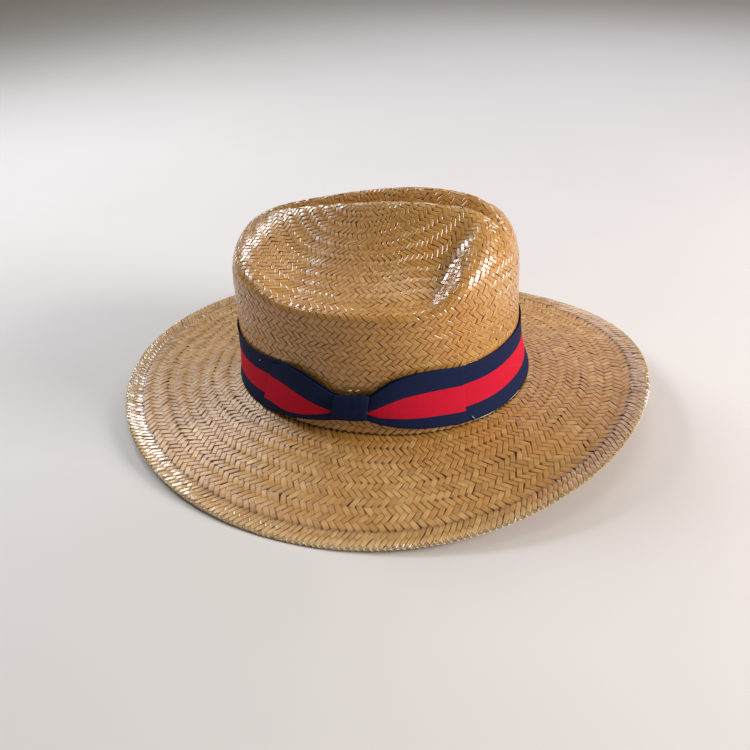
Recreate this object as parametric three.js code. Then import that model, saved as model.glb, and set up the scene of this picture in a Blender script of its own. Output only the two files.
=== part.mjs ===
// A straw hat with a striped ribbon and a flat bow, lying on its brim. Millimetres, +Z up.
// The wearer faces -Y and the bow is on the wearer's left, at +X.
// The origin is on the surface that the hat lies on, under the middle of its brim.

import * as THREE from 'three';
import { mergeVertices } from 'three/addons/utils/BufferGeometryUtils.js';

// Crown: the wall is an oval that flares at its foot and leans in a little as it rises
const CROWN_HALF_LENGTH = 98;      // at the foot, along Y
const CROWN_HALF_WIDTH = 85.5;     // at the foot, along X
const FLARE_HEIGHT = 20;           // the flare fades over this height
const FLARE_LENGTH = 6;            // how far the flare widens the foot, along Y
const FLARE_WIDTH = 3;             // the same along X
const LEAN_LENGTH = 0.012;         // inward lean of the wall for each mm of height, along Y
const LEAN_WIDTH = 0.03;           // the same along X
const FRONT_SQUARENESS = 0.025;    // how much squarer than an oval the front is
const CROWN_CENTRE = 2.3;          // the oval's centre behind the brim's centre, above the flare
const FLARE_SHIFT = 2.5;           // how far the flare moves the centre back at the foot
const CROWN_SHEAR = 0.01;          // how far forward the centre moves for each mm of height

// Crown top: a crest that falls to the front and back, a scoop on each side, a crease along the middle
const CREST_HEIGHT = 120.5;        // highest line of the crown, above the foot
const CREST_PLACE = 33;            // how far behind the origin the crest is highest
const CREST_FALL = 0.0036;         // how fast the crest falls away from there
const CREST_EASE = 0.013;          // how soon that fall straightens out
const LEDGE_HEIGHT = 79;           // foot of the side scoops
const SCOOP_POWER = 2;             // 1 is a straight slope, more is a deeper scoop
const SCOOP_BACK_START = 55;       // the scoops fade out between these places behind the origin
const SCOOP_BACK_END = 78;
const SCOOP_BACK_BEND = 0.0015;    // how fast that end of a scoop comes forward towards the wall
const SCOOP_FRONT_START = 27;      // and between these places before it
const SCOOP_FRONT_END = 89;
const DOME_BACK = 14;              // how far the crown's back end is rounded down
const DOME_FRONT = 9;              // the same at the front
const DOME_START = 0.6;            // share of the way to the wall where that rounding starts
const DOME_SIDES = 1.25;           // how much sooner it comes towards the sides
const DOME_POWER = 1.6;            // 1 is a straight slope, more keeps the rounding near the wall
const RIDGE_HALF_WIDTH = 11;       // the two ridges beside the crease, from the middle
const RIDGE_PLACE = 5;             // their middle behind the origin
const RIDGE_HALF_LENGTH = 80;
const RIDGE_EGG = 0.45;            // how much wider apart they are at the back than at the front
const RIDGE_ROUND = 0.03;          // rounding of the ridges, as a share of the scoop's width
const CREASE_DEPTH = 17;

// Rounding of the edge between the wall and the top
const CORNER_DROP = 5;             // where it starts below the edge, at the sides
const CORNER_INSET = 5;            // where it ends inside the edge, at the sides
const CORNER_DROP_FRONT = 13;      // added to these at the front
const CORNER_INSET_FRONT = 4;
const CORNER_DROP_BACK = 20;       // and at the back
const CORNER_INSET_BACK = 12;

// Brim
const BRIM_HALF_LENGTH = 180;
const BRIM_HALF_WIDTH = 160.5;
const RIM_DROP = 12.2;             // the rim's mean height under the crown's foot
const RIM_LIFT_BACK = 6.9;         // the back is higher and the front is lower by this
const RIM_DIP_SIDES = 9;           // the sides are lower, and the front and back higher, by this
const RIM_TWIST = 1.7;             // a small third wave round the rim
const CURL_RISE = 4;               // the outer part curls up by this
const CURL_SWING = 0.3;            // share by which the curl is stronger at the front and back
const CURL_START = 0.62;           // share of the brim's width where the curl starts
const HEM_WIDTH = 12;              // the edge is folded under and stitched

// Straw and ribbon
const STRAW_WALL = 1.6;
const HEM_THICKNESS = 2.8;         // two layers
const RIM_ROUND = 0.8;             // rounding of the folded edge
const REST_FLAT = 0.6;             // the lowest arcs of the rim are this flat where the hat rests
const RIBBON_WIDTH = 38.2;         // an inch and a half
const RIBBON_THICKNESS = 1;
const RIBBON_FOOT = 1.5;           // the ribbon's lower edge above the crown's foot
const GAP = 0.3;                   // between pieces that touch

// Bow, on the wearer's left. Angles are round the crown, from the wearer's left towards the back
const BOW_FRONT_ANGLE = -35.5;     // outer end of its front wing
const BOW_BACK_ANGLE = 45.5;       // outer end of its back wing
const BAND_OVERLAP_FRONT = 16;     // the band's ends run this many degrees under the wings
const BAND_OVERLAP_BACK = 6.5;
const KNOT_FRONT_ANGLE = -3.6;
const KNOT_BACK_ANGLE = 8.9;
const KNOT_HEIGHT = 17;
const KNOT_MIDDLE = 19.8;          // height of the knot's middle above the crown's foot
const PINCH_THICKNESS = 2.6;       // the gathered ribbon inside the knot
const KNOT_MARGIN = 0.3;           // the pinch is this many degrees longer than the knot at each end
const GATHER_ANGLE = 5;            // the wings gather into the pinch over this many degrees
const BOW_THICKNESS = 1.6;         // two layers of ribbon
const BOW_PUFF = 3.4;              // how far the wings stand out between knot and end

// Sections of the bow from its front end to its back end. along is a share of the way, low and high are its edges
// as shares of the ribbon's width above the ribbon's foot, and puff is a share of the bow's puff
const BOW_SECTIONS = [
  { along: 0.00, low: -0.02, high: 0.92, puff: 0.10 },
  { along: 0.08, low: 0.01, high: 0.99, puff: 0.55 },
  { along: 0.18, low: 0.08, high: 1.06, puff: 1.00 },
  { along: 0.28, low: 0.16, high: 0.99, puff: 0.90 },
  { along: 0.36, low: 0.23, high: 0.82, puff: 0.50 },
  { along: 0.56, low: 0.25, high: 0.74, puff: 0.50 },
  { along: 0.63, low: 0.19, high: 1.00, puff: 0.90 },
  { along: 0.72, low: 0.14, high: 1.10, puff: 1.00 },
  { along: 0.82, low: 0.08, high: 1.12, puff: 0.70 },
  { along: 0.92, low: 0.05, high: 1.07, puff: 0.30 },
  { along: 1.00, low: 0.03, high: 1.02, puff: 0.00 },
];

// Number of facets
const COLUMNS = 64;
const WALL_ROWS = 7;
const CORNER_ROWS = 4;
const SCOOP_ROWS = 7;
const CREASE_ROWS = 3;
const BRIM_ROWS = 7;
const HEM_ROWS = 4;
const KNOT_STEPS = 6;
const WING_STEPS = 14;

const STRAW = new THREE.MeshStandardMaterial({ color: 0xb98a4c, roughness: 0.45, metalness: 0 });
const RIBBON = new THREE.MeshStandardMaterial({ color: 0xb01c34, roughness: 0.8, metalness: 0 });
const NAVY = new THREE.MeshStandardMaterial({ color: 0x16284a, roughness: 0.8, metalness: 0 });

const radians = THREE.MathUtils.degToRad;
const { smoothstep, clamp, lerp } = THREE.MathUtils;
const share = (index, count) => index / count;
const range = (count) => Array.from({ length: count }, (_, index) => index);

// The crown's wall

function wallHalves(height, inset) {
  const narrowed = 1 - Math.exp(-height / FLARE_HEIGHT);
  return {
    x: CROWN_HALF_WIDTH - FLARE_WIDTH * narrowed - LEAN_WIDTH * height - inset,
    y: CROWN_HALF_LENGTH - FLARE_LENGTH * narrowed - LEAN_LENGTH * height - inset,
  };
}

function wallCentre(height) {
  return CROWN_CENTRE + FLARE_SHIFT * Math.exp(-height / FLARE_HEIGHT) - CROWN_SHEAR * height;
}

function wallPoint(angle, height, inset = 0) {
  const square = FRONT_SQUARENESS * (1 - Math.sin(angle)) / 2;
  const halves = wallHalves(height, inset);
  return new THREE.Vector3(
    halves.x * (Math.cos(angle) + square * (Math.cos(angle) - Math.cos(3 * angle))),
    wallCentre(height) + halves.y * (Math.sin(angle) + square * (Math.sin(angle) + Math.sin(3 * angle))),
    height,
  );
}

// A point that stands off the wall, level with the wall's own point
function offWall(angle, height, distance) {
  const step = 0.01;
  const before = wallPoint(angle - step, height);
  const after = wallPoint(angle + step, height);
  const normal = new THREE.Vector3(after.y - before.y, before.x - after.x, 0).normalize();
  return wallPoint(angle, height).addScaledVector(normal, distance);
}

// The crown's top

function scoopShare(x, y) {
  const back = smoothstep(y + SCOOP_BACK_BEND * x * x, SCOOP_BACK_START, SCOOP_BACK_END);
  const front = smoothstep(-y, SCOOP_FRONT_START, SCOOP_FRONT_END);
  return (1 - back) * (1 - front);
}

function crestHeight(y) {
  const away = Math.abs(y - CREST_PLACE);
  return CREST_HEIGHT - CREST_FALL * away * away / (1 + CREST_EASE * away);
}

function topHeight(x, y) {
  const halves = wallHalves(LEDGE_HEIGHT, 0);
  const along = (y - wallCentre(LEDGE_HEIGHT)) / halves.y;
  const halfWidth = halves.x * Math.sqrt(Math.max(1 - along * along, 0));
  const onRidge = clamp((y - RIDGE_PLACE) / RIDGE_HALF_LENGTH, -1, 1);
  const ridge = RIDGE_HALF_WIDTH * Math.sqrt(1 - onRidge * onRidge) * (1 + RIDGE_EGG * onRidge);
  const outward = clamp((Math.abs(x) - ridge) / Math.max(halfWidth - ridge, 1), 0, 1);
  const down = Math.hypot(outward, RIDGE_ROUND) - RIDGE_ROUND;
  const scoop = (crestHeight(y) - LEDGE_HEIGHT) * scoopShare(x, y) * (1 - (1 - down) ** SCOOP_POWER);
  const outer = Math.hypot(DOME_SIDES * x / halves.x, along);
  const rounded = Math.max((outer - DOME_START) / (1 - DOME_START), 0) ** DOME_POWER;
  const dome = (y > 0 ? DOME_BACK : DOME_FRONT) * (1 - scoopShare(x, y)) * rounded;
  const inward = ridge > 0 ? Math.max(1 - Math.abs(x) / ridge, 0) : 0;
  const fade = (1 - onRidge * onRidge) ** (onRidge > 0 ? 0.5 : 1);
  return crestHeight(y) - scoop - dome - CREASE_DEPTH * fade * smoothstep(inward, 0, 1);
}

// The top's height less the wall's thickness, measured square to the slope
function topUnder(x, y, inset) {
  const step = 0.5;
  const slopeX = (topHeight(x + step, y) - topHeight(x - step, y)) / (2 * step);
  const slopeY = (topHeight(x, y + step) - topHeight(x, y - step)) / (2 * step);
  return topHeight(x, y) - inset * Math.hypot(1, slopeX, slopeY);
}

// One line down the crown, from the crease over the ridge, the scoop and the corner to the foot of the wall.
// The inner skin is the same line, inset by the wall's thickness
function crownLine(angle, inset) {
  const sine = Math.sin(angle);
  const back = smoothstep(sine, 0.45, 0.95);
  const front = smoothstep(-sine, 0.45, 0.98);
  let edge = wallPoint(angle, LEDGE_HEIGHT, inset);
  for (let pass = 0; pass < 6; pass += 1) {
    edge = wallPoint(angle, topUnder(edge.x, edge.y, inset), inset);
  }
  const drop = CORNER_DROP + CORNER_DROP_BACK * back + CORNER_DROP_FRONT * front;
  const reach = CORNER_INSET + CORNER_INSET_BACK * back + CORNER_INSET_FRONT * front;
  const ridge = new THREE.Vector2(
    RIDGE_HALF_WIDTH * Math.cos(angle) * (1 + RIDGE_EGG * sine),
    RIDGE_PLACE + RIDGE_HALF_LENGTH * sine,
  );
  const distance = Math.hypot(edge.x - ridge.x, edge.y - ridge.y);
  const cornerShare = reach / Math.hypot(distance, reach);
  const onTop = (along) => {
    const x = lerp(edge.x, ridge.x, along);
    const y = lerp(edge.y, ridge.y, along);
    return new THREE.Vector3(x, y, topUnder(x, y, inset));
  };
  const crease = range(CREASE_ROWS).map((row) => {
    const x = ridge.x * share(row, CREASE_ROWS);
    return new THREE.Vector3(x, ridge.y, topUnder(x, ridge.y, inset));
  });
  const scoop = range(SCOOP_ROWS).map((row) => onTop(lerp(1, cornerShare, share(row, SCOOP_ROWS))));
  const corner = new THREE.QuadraticBezierCurve3(
    onTop(cornerShare), edge, wallPoint(angle, edge.z - drop, inset),
  ).getPoints(CORNER_ROWS).slice(0, -1);
  const wall = range(WALL_ROWS).map((row) => {
    const down = share(row, WALL_ROWS);
    return wallPoint(angle, (edge.z - drop) * (1 - down * (2 - down)), inset);
  });
  return [...crease, ...scoop, ...corner, ...wall];
}

// The brim

function rimHeight(angle) {
  return -RIM_DROP + RIM_LIFT_BACK * Math.sin(angle) - RIM_DIP_SIDES * Math.cos(2 * angle)
    - RIM_TWIST * Math.sin(3 * angle);
}

// across is 0 at the crown's foot and 1 at the rim
function brimPoint(angle, across, under = 0) {
  const foot = wallPoint(angle, 0);
  const rimX = (BRIM_HALF_WIDTH - RIM_ROUND) * Math.cos(angle);
  const rimY = (BRIM_HALF_LENGTH - RIM_ROUND) * Math.sin(angle);
  const curl = CURL_RISE * (1 - CURL_SWING * Math.cos(2 * angle));
  const curled = Math.max((across - CURL_START) / (1 - CURL_START), 0) ** 2;
  return new THREE.Vector3(
    lerp(foot.x, rimX, across),
    lerp(foot.y, rimY, across),
    (rimHeight(angle) - curl) * across + curl * curled - under,
  );
}

function hemShare(angle) {
  const foot = wallPoint(angle, 0);
  const rim = brimPoint(angle, 1);
  return 1 - HEM_WIDTH / Math.hypot(rim.x - foot.x, rim.y - foot.y);
}

// One line over the brim's upper side, round the folded edge and back under it
function brimLine(angle) {
  const hem = hemShare(angle);
  const rim = brimPoint(angle, 1, HEM_THICKNESS / 2);
  rim.x += RIM_ROUND * Math.cos(angle);
  rim.y += RIM_ROUND * Math.sin(angle);
  const flat = range(BRIM_ROWS).map((row) => hem * share(row, BRIM_ROWS));
  const folded = range(HEM_ROWS + 1).map((row) => lerp(hem, 1, share(row, HEM_ROWS)));
  const step = (1 - hem) * STRAW_WALL / HEM_WIDTH;
  return [
    ...flat.map((across) => brimPoint(angle, across)),
    ...folded.map((across) => brimPoint(angle, across)),
    rim,
    ...folded.toReversed().map((across) => brimPoint(angle, across, HEM_THICKNESS)),
    brimPoint(angle, hem - step, STRAW_WALL),
    ...flat.toReversed().slice(0, -1).map((across) => brimPoint(angle, across - step, STRAW_WALL)),
    brimPoint(angle, 0, STRAW_WALL),
  ];
}

const FOOT_HEIGHT = HEM_THICKNESS - REST_FLAT
  - Math.min(...range(COLUMNS).map((column) => rimHeight(2 * Math.PI * share(column, COLUMNS))));

// Closed meshes

function meshOf(name, points, faces, material) {
  const geometry = new THREE.BufferGeometry();
  geometry.setAttribute('position', new THREE.Float32BufferAttribute(points.flatMap((p) => p.toArray()), 3));
  geometry.setIndex(faces.flat());
  const merged = mergeVertices(geometry, 1e-3);
  const index = merged.getIndex().array;
  const kept = [];
  for (let start = 0; start < index.length; start += 3) {
    const [a, b, c] = index.slice(start, start + 3);
    if (a !== b && b !== c && c !== a) {
      kept.push(a, b, c);
    }
  }
  merged.setIndex(kept);
  merged.computeVertexNormals();
  const mesh = new THREE.Mesh(merged, material);
  mesh.name = name;
  return mesh;
}

// Two triangles for each cell between neighbouring lines. Lines may be joined into a ring, and so may their points
function gridFaces(lineCount, pointCount, ringOfLines, ringOfPoints) {
  const faces = [];
  range(ringOfLines ? lineCount : lineCount - 1).forEach((line) => {
    range(ringOfPoints ? pointCount : pointCount - 1).forEach((point) => {
      const next = ((line + 1) % lineCount) * pointCount;
      const after = (point + 1) % pointCount;
      const [a, b] = [line * pointCount + point, next + point];
      const [c, d] = [next + after, line * pointCount + after];
      faces.push([a, c, b], [a, d, c]);
    });
  });
  return faces;
}

// Ends of a swept loop whose points run down its front and up its back
function strapCaps(stationCount, loopSize) {
  const faces = [];
  const last = (stationCount - 1) * loopSize;
  range(loopSize / 2 - 1).forEach((point) => {
    const [a, b, c, d] = [point, point + 1, loopSize - 2 - point, loopSize - 1 - point];
    faces.push([a, c, b], [a, d, c], [last + a, last + b, last + c], [last + a, last + c, last + d]);
  });
  return faces;
}

function strawBody() {
  const lines = range(COLUMNS).map((column) => {
    const angle = 2 * Math.PI * share(column, COLUMNS);
    const inner = crownLine(angle, STRAW_WALL).toReversed();
    return [...crownLine(angle, 0), ...brimLine(angle), ...inner].map((point) => {
      const height = Math.max(point.z + FOOT_HEIGHT, 0);
      return new THREE.Vector3(point.x, point.y, height);
    });
  });
  const faces = gridFaces(COLUMNS, lines[0].length, true, false);
  return meshOf('straw_body', lines.flat(), faces, STRAW);
}

// A strap along the wall: sections hold the angle and two rows of points, as height and distance from the wall
function strap(name, sections, material) {
  const loops = sections.map(({ angle, front, back }) => [...front.toReversed(), ...back].map(
    ({ height, distance }) => offWall(angle, height, distance).add(new THREE.Vector3(0, 0, FOOT_HEIGHT)),
  ));
  const faces = [
    ...gridFaces(loops.length, loops[0].length, false, true),
    ...strapCaps(loops.length, loops[0].length),
  ];
  return meshOf(name, loops.flat(), faces, material);
}

function ribbonBand() {
  const start = radians(BOW_BACK_ANGLE - BAND_OVERLAP_BACK);
  const end = radians(360 + BOW_FRONT_ANGLE + BAND_OVERLAP_FRONT);
  const rows = [0, 0.12, 0.28, 0.6, 1].map((part) => RIBBON_FOOT + RIBBON_WIDTH * part);
  const steps = Math.round((end - start) / (2 * Math.PI) * COLUMNS);
  return strap('ribbon_band', range(steps + 1).map((step) => ({
    angle: lerp(start, end, share(step, steps)),
    front: rows.map((height) => ({ height, distance: GAP + RIBBON_THICKNESS })),
    back: rows.map((height) => ({ height, distance: GAP })),
  })), RIBBON);
}

// The bow's rows across the ribbon: its middle puffs out more than its edges
const BOW_ROWS = [0, 0.2, 0.4, 0.6, 0.8, 1];
const BOW_SEAT = GAP + RIBBON_THICKNESS + GAP;

function sectionAt(along) {
  const after = BOW_SECTIONS.find((section) => section.along > along) ?? BOW_SECTIONS.at(-1);
  const before = BOW_SECTIONS[Math.max(BOW_SECTIONS.indexOf(after) - 1, 0)];
  const part = smoothstep(along, before.along, after.along);
  const blend = (column) => lerp(before[column], after[column], part);
  return { low: blend('low'), high: blend('high'), puff: blend('puff') };
}

// Angles of the bow's sections, with the knot's own among them so that the two pieces keep their gap
const evenly = (start, end, steps) => range(steps + 1).map((step) => lerp(start, end, share(step, steps)));
const KNOT_ANGLES = evenly(KNOT_FRONT_ANGLE, KNOT_BACK_ANGLE, KNOT_STEPS);
const BOW_ANGLES = [
  ...evenly(BOW_FRONT_ANGLE, KNOT_FRONT_ANGLE - KNOT_MARGIN, WING_STEPS),
  ...KNOT_ANGLES,
  ...evenly(KNOT_BACK_ANGLE + KNOT_MARGIN, BOW_BACK_ANGLE, WING_STEPS),
];

function bowRibbon() {
  const pinchHeight = KNOT_HEIGHT - 2 * (RIBBON_THICKNESS + GAP);
  return strap('bow_ribbon', BOW_ANGLES.map((degrees) => {
    const gathered = 1 - smoothstep(
      Math.max(KNOT_FRONT_ANGLE - degrees, degrees - KNOT_BACK_ANGLE), KNOT_MARGIN, GATHER_ANGLE,
    );
    const { low, high, puff } = sectionAt((degrees - BOW_FRONT_ANGLE) / (BOW_BACK_ANGLE - BOW_FRONT_ANGLE));
    const bottom = lerp(RIBBON_FOOT + RIBBON_WIDTH * low, KNOT_MIDDLE - pinchHeight / 2, gathered);
    const top = lerp(RIBBON_FOOT + RIBBON_WIDTH * high, KNOT_MIDDLE + pinchHeight / 2, gathered);
    const thickness = lerp(BOW_THICKNESS, PINCH_THICKNESS, gathered);
    const rows = BOW_ROWS.map((part) => {
      const lift = BOW_PUFF * puff * (1 - gathered) * Math.sin(Math.PI * part);
      return { height: lerp(bottom, top, part), distance: BOW_SEAT + lift };
    });
    return {
      angle: radians(degrees),
      front: rows.map(({ height, distance }) => ({ height, distance: distance + thickness })),
      back: rows,
    };
  }), RIBBON);
}

// A rectangle round the bow's pinch with its corners cut, from the wall side up, over, down and back under
function knotLoop(near, far, half, corner) {
  return [
    [near, -half + corner], [near, half - corner], [near + corner, half], [far - corner, half],
    [far, half - corner], [far, -half + corner], [far - corner, -half], [near + corner, -half],
  ];
}

// A sleeve round the bow's pinch: an outer and an inner loop, joined at both ends
function bowKnot() {
  const near = BOW_SEAT - GAP;
  const far = BOW_SEAT + PINCH_THICKNESS + GAP;
  const half = KNOT_HEIGHT / 2 - RIBBON_THICKNESS;
  const inner = knotLoop(near, far, half, GAP);
  const outer = knotLoop(GAP, far + RIBBON_THICKNESS, KNOT_HEIGHT / 2, RIBBON_THICKNESS);
  const ring = (loop, degrees) => loop.map(([distance, height]) => (
    offWall(radians(degrees), KNOT_MIDDLE + height, distance).add(new THREE.Vector3(0, 0, FOOT_HEIGHT))
  ));
  const loops = [
    ...KNOT_ANGLES.map((degrees) => ring(outer, degrees)),
    ...KNOT_ANGLES.toReversed().map((degrees) => ring(inner, degrees)),
  ];
  return meshOf('bow_knot', loops.flat(), gridFaces(loops.length, outer.length, true, true), NAVY);
}

const hat = new THREE.Group();
hat.name = 'straw_hat';
hat.add(strawBody(), ribbonBand(), bowRibbon(), bowKnot());

export default hat;
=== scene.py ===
"""Woven palm straw hat with a striped ribbon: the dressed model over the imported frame.

Run as a script in Blender 4.5. Lengths are worked out in millimetres in the hat's own frame, where z is 0 at
the crown's foot, x points to the wearer's left and y to the back, and they go into the meshes in metres.
"""
import math

import bpy
import numpy as np
from bpy.props import FloatProperty, FloatVectorProperty, PointerProperty
from mathutils import Matrix, Vector


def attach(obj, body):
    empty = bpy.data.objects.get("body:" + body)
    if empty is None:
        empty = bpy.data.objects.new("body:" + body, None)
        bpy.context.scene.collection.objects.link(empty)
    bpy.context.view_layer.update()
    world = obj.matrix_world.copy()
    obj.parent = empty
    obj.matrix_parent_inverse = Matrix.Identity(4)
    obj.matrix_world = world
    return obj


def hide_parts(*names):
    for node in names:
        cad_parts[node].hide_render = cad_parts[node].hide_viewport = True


bl_info = {
    "name": "Straw Hat",
    "version": (1, 0, 0),
    "blender": (4, 5, 0),
    "location": "3D View > Sidebar > Straw Hat",
    "description": "Builds a woven palm straw hat with a striped ribbon and bow over its packed frame",
    "category": "Add Mesh",
}

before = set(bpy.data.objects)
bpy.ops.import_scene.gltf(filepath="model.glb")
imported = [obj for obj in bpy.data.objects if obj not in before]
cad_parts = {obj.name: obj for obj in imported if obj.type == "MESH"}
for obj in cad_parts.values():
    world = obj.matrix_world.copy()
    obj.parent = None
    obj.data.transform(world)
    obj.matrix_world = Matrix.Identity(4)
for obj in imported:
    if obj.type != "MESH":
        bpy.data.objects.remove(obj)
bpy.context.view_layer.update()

# Crown, as in the part's source
CROWN_HALF_LENGTH = 98.0
CROWN_HALF_WIDTH = 85.5
FLARE_HEIGHT = 20.0
FLARE_LENGTH = 6.0
FLARE_WIDTH = 3.0
LEAN_LENGTH = 0.012
LEAN_WIDTH = 0.03
FRONT_SQUARENESS = 0.025
CROWN_CENTRE = 2.3
FLARE_SHIFT = 2.5
CROWN_SHEAR = 0.01
CREST_HEIGHT = 120.5
CREST_PLACE = 33.0
CREST_FALL = 0.0036
CREST_EASE = 0.013
LEDGE_HEIGHT = 79.0
SCOOP_BACK = (55.0, 78.0)
SCOOP_BACK_BEND = 0.0015
SCOOP_FRONT = (-27.0, -89.0)
DOME_BACK = 14.0
DOME_FRONT = 9.0
DOME_START = 0.6
DOME_SIDES = 1.25
DOME_POWER = 1.6
RIDGE_HALF_WIDTH = 11.0
RIDGE_PLACE = 5.0
RIDGE_HALF_LENGTH = 80.0
RIDGE_EGG = 0.45
RIDGE_ROUND = 0.03
CREASE_DEPTH = 17.0
CORNER_DROP = (5.0, 13.0, 20.0)
CORNER_INSET = (5.0, 4.0, 12.0)

# Brim, as in the part's source
BRIM_HALF_LENGTH = 180.0
BRIM_HALF_WIDTH = 160.5
RIM_DROP = 12.2
RIM_LIFT_BACK = 6.9
RIM_DIP_SIDES = 9.0
RIM_TWIST = 1.7
CURL_RISE = 4.0
CURL_SWING = 0.3
CURL_START = 0.62
HEM_WIDTH = 12.0
HEM_THICKNESS = 2.8
STRAW_WALL = 1.6
FOOT_HEIGHT = 23.41

# Ribbon, as in the part's source
RIBBON_WIDTH = 38.2
RIBBON_FOOT = 1.5
BAND_FRONT_ANGLE = -19.5
BAND_BACK_ANGLE = 39.0
KNOT_FRONT_ANGLE = -3.3
KNOT_BACK_ANGLE = 8.9
KNOT_LEAN = 0.0857

# Rows of the plait: up the crown, of which the lowest are level, and from the hem's raw edge over the rim to
# the crown's foot. The closing says how much closer rows lie at their inner end
CROWN_ROWS = 48
CROWN_LEVEL_ROWS = 16
CROWN_CLOSING = 0.07
HEM_ROWS = 2
# Depth in metres over which the surface below flattens the strands that rest on it
PRESSED_DEPTH = 0.00015
RIM_ROWS = 1
FLAT_ROWS = 2
PLAIT_ROWS = 13
BRIM_CLOSING = 0.08

# Floats in each row
CROWN_FLOATS = 122
CROWN_STEPS = (8, 12, 16, 20, 26, 32, 38, 46, 54, 62, 72, 82, 92, 102, 112, CROWN_FLOATS)
HEM_FLOATS = 288
BRIM_FLOATS = (216, 216, 216, 198, 198, 198, 180, 180, 180, 168, 168, 156, 156)

# How finely the skins are sampled
SKIN_COLUMNS = 1088
STEPS_PER_ROW = 6

SEED = 7
FULL_TURN = 2.0 * math.pi


def linear(colour):
    """An sRGB hex colour as linear red, green and blue."""
    parts = [int(colour[place:place + 2], 16) / 255.0 for place in (1, 3, 5)]
    return tuple(part / 12.92 if part <= 0.04045 else ((part + 0.055) / 1.055) ** 2.4 for part in parts)


def smooth(low, high, value):
    """0 before low, 1 after high, and the cubic 3t^2 - 2t^3 between them."""
    share = np.clip((value - low) / (high - low), 0.0, 1.0)
    return share * share * (3.0 - 2.0 * share)


# Skins


def wall_centre(height):
    """The oval's centre along y: it moves back by the flare at the foot and forward with height."""
    return FLARE_SHIFT * np.exp(-height / FLARE_HEIGHT) + CROWN_CENTRE - CROWN_SHEAR * height


def wall_halves(height):
    """The oval's half width and half length: they lean inwards with height and flare at the foot."""
    past_flare = 1.0 - np.exp(-height / FLARE_HEIGHT)
    return (
        CROWN_HALF_WIDTH - FLARE_WIDTH * past_flare - LEAN_WIDTH * height,
        CROWN_HALF_LENGTH - FLARE_LENGTH * past_flare - LEAN_LENGTH * height,
    )


def wall_plan(angle, height):
    """A point of the wall in plan: an oval whose front is a little squarer, by a third harmonic."""
    half_width, half_length = wall_halves(height)
    square = FRONT_SQUARENESS * (1.0 - np.sin(angle)) / 2.0
    across = np.cos(angle) + square * (np.cos(angle) - np.cos(3.0 * angle))
    along = np.sin(angle) + square * (np.sin(angle) + np.sin(3.0 * angle))
    return half_width * across, wall_centre(height) + half_length * along


def crest_height(y):
    """The highest line of the crown: a parabola about its highest place that straightens far from it."""
    away = np.abs(y - CREST_PLACE)
    return CREST_HEIGHT - CREST_FALL * away * away / (1.0 + CREST_EASE * away)


def ridge_half_width(y):
    """How far each ridge is from the middle: an ellipse's half width, wider towards the back."""
    place = np.clip((y - RIDGE_PLACE) / RIDGE_HALF_LENGTH, -1.0, 1.0)
    return RIDGE_HALF_WIDTH * np.sqrt(1.0 - place * place) * (1.0 + RIDGE_EGG * place)


def top_height(x, y):
    """The crown's top: the crest, less a square-law scoop outside each ridge, a rounding near the ends and a
    smooth V between the ridges."""
    half_width, half_length = wall_halves(LEDGE_HEIGHT)
    along = (y - wall_centre(LEDGE_HEIGHT)) / half_length
    wall = half_width * np.sqrt(np.clip(1.0 - along * along, 0.0, 1.0))
    place = np.clip((y - RIDGE_PLACE) / RIDGE_HALF_LENGTH, -1.0, 1.0)
    ridge = ridge_half_width(y)
    crest = crest_height(y)
    scooped = 1.0 - smooth(*SCOOP_BACK, y + SCOOP_BACK_BEND * x * x)
    scooped = scooped * (1.0 - smooth(*SCOOP_FRONT, y))
    out = np.clip((np.abs(x) - ridge) / np.maximum(wall - ridge, 1.0), 0.0, 1.0)
    out = np.hypot(out, RIDGE_ROUND) - RIDGE_ROUND
    fall = (crest - LEDGE_HEIGHT) * scooped * (1.0 - (1.0 - out) ** 2)
    end = np.hypot(DOME_SIDES * x / half_width, along)
    dome = np.where(y > 0.0, DOME_BACK, DOME_FRONT) * (1.0 - scooped)
    dome = dome * np.maximum((end - DOME_START) / (1.0 - DOME_START), 0.0) ** DOME_POWER
    inside = np.clip(1.0 - np.abs(x) / np.maximum(ridge, 1e-6), 0.0, 1.0)
    fade = (1.0 - place * place) ** np.where(place > 0.0, 0.5, 1.0)
    crease = CREASE_DEPTH * fade * inside * inside * (3.0 - 2.0 * inside)
    return crest - fall - dome - crease


def crown_profiles(angles):
    """Points from the crown's foot to its tip for each angle: up the wall, round a corner that is a quadratic
    Bezier curve, then straight in plan to the tip, at the top's height. Rows run along the first axis."""
    angle = angles[None, :]
    edge_height = np.full_like(angle, 90.0)
    for _ in range(6):
        edge_x, edge_y = wall_plan(angle, edge_height)
        edge_height = top_height(edge_x, edge_y)
    back = smooth(0.45, 0.95, np.sin(angle))
    front = smooth(0.45, 0.98, -np.sin(angle))
    drop = CORNER_DROP[0] + CORNER_DROP[1] * front + CORNER_DROP[2] * back
    inset = CORNER_INSET[0] + CORNER_INSET[1] * front + CORNER_INSET[2] * back
    reach = np.hypot(edge_x, edge_y - RIDGE_PLACE)
    first = inset / reach
    wall_share = np.linspace(0.0, 1.0, 60)[:, None]
    height = wall_share * (edge_height - drop)
    x, y = wall_plan(angle, height)
    wall = np.stack([x, y, height + 0.0 * x], axis=-1)
    start = wall[-1:]
    bend = np.stack([edge_x, edge_y, edge_height], axis=-1)
    share = first + (1.0 - first) * np.linspace(0.0, 1.0, 240)[:, None]
    x = edge_x * (1.0 - share)
    y = edge_y + (RIDGE_PLACE - edge_y) * share
    top = np.stack([x, y, top_height(x, y)], axis=-1)
    turn = np.linspace(0.0, 1.0, 26)[1:-1, None, None]
    corner = (1.0 - turn) ** 2 * start + 2.0 * turn * (1.0 - turn) * bend + turn * turn * top[:1]
    return np.concatenate([wall, corner, top], axis=0)


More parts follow.
